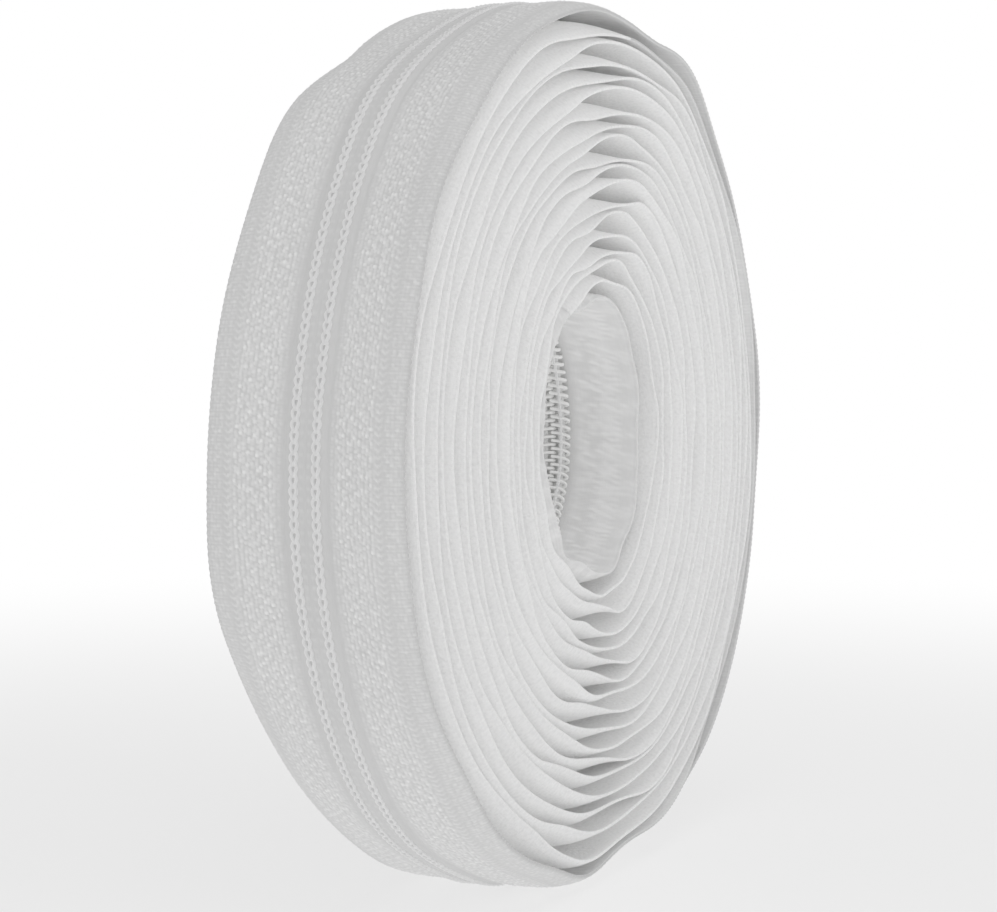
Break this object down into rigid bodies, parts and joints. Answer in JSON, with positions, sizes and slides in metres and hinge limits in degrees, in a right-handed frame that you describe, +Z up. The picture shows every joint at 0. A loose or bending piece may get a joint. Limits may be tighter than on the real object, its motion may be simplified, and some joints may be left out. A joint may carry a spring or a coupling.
{
  "type": "zipper chain roll",
  "caption": "Coreless wound roll of continuous nylon coil zipper chain, with a free end that peels off and parts into its two sides.",
  "frame": {"origin": "middle of the roll's box, on the roll's axis to within a millimetre", "axes": "+Z up with the roll standing on its rim, Y along the roll's axis with the left side at +Y, free end of the chain on the +X side"},
  "size_m": [0.1289, 0.03, 0.1277],
  "materials": {
    "tape": "matte woven",
    "coil": "satin monofilament",
    "cord": "matte twisted",
    "stitching": "matte thread"
  },
  "bodies": {
    "roll": {"left_tape": "tape", "left_coil": "coil", "left_cord": "cord", "left_stitching": "stitching", "right_tape": "tape", "right_coil": "coil", "right_cord": "cord", "right_stitching": "stitching"},
    "tail_1": {"tail_1_left_tape": "tape", "tail_1_left_coil": "coil", "tail_1_left_cord": "cord", "tail_1_left_stitching": "stitching", "tail_1_right_tape": "tape", "tail_1_right_coil": "coil", "tail_1_right_cord": "cord", "tail_1_right_stitching": "stitching"},
    "tail_2": {"tail_2_left_tape": "tape", "tail_2_left_coil": "coil", "tail_2_left_cord": "cord", "tail_2_left_stitching": "stitching", "tail_2_right_tape": "tape", "tail_2_right_coil": "coil", "tail_2_right_cord": "cord", "tail_2_right_stitching": "stitching"},
    "tail_3": {"tail_3_left_tape": "tape", "tail_3_left_coil": "coil", "tail_3_left_cord": "cord", "tail_3_left_stitching": "stitching", "tail_3_right_tape": "tape", "tail_3_right_coil": "coil", "tail_3_right_cord": "cord", "tail_3_right_stitching": "stitching"},
    "tail_4": {"tail_4_left_tape": "tape", "tail_4_left_coil": "coil", "tail_4_left_cord": "cord", "tail_4_left_stitching": "stitching", "tail_4_right_tape": "tape", "tail_4_right_coil": "coil", "tail_4_right_cord": "cord", "tail_4_right_stitching": "stitching"},
    "left_end": {"end_left_tape": "tape", "end_left_coil": "coil", "end_left_cord": "cord", "end_left_stitching": "stitching"},
    "right_end": {"end_right_tape": "tape", "end_right_coil": "coil", "end_right_cord": "cord", "end_right_stitching": "stitching"}
  },
  "joints": [
    {"name": "peel_1", "type": "hinge", "parent": "roll", "child": "tail_1", "pos_m": [0.02491, 0, 0.06014], "axis": [0, -1, 0], "range_deg": [0, 30]},
    {"name": "peel_2", "type": "hinge", "parent": "tail_1", "child": "tail_2", "pos_m": [0.05181, 0, 0.03975], "axis": [0, -1, 0], "range_deg": [0, 30]},
    {"name": "peel_3", "type": "hinge", "parent": "tail_2", "child": "tail_3", "pos_m": [0.06494, 0, 0.00855], "axis": [0, -1, 0], "range_deg": [0, 30]},
    {"name": "peel_4", "type": "hinge", "parent": "tail_3", "child": "tail_4", "pos_m": [0.0607, 0, -0.02514], "axis": [0, -1, 0], "range_deg": [0, 30]},
    {"name": "left_spread", "type": "hinge", "parent": "tail_4", "child": "left_end", "pos_m": [0.04012, 0.0017, -0.05228], "axis": [0.6088, 0, -0.7934], "range_deg": [0, 12]},
    {"name": "right_spread", "type": "hinge", "parent": "tail_4", "child": "right_end", "pos_m": [0.04012, -0.0017, -0.05228], "axis": [-0.6088, 0, 0.7934], "range_deg": [0, 12]}
  ],
  "couplings": [
    {"joint": "peel_2", "follows": "peel_1", "ratio": 1},
    {"joint": "peel_3", "follows": "peel_1", "ratio": 1},
    {"joint": "peel_4", "follows": "peel_1", "ratio": 1},
    {"joint": "right_spread", "follows": "left_spread", "ratio": 1}
  ]
}
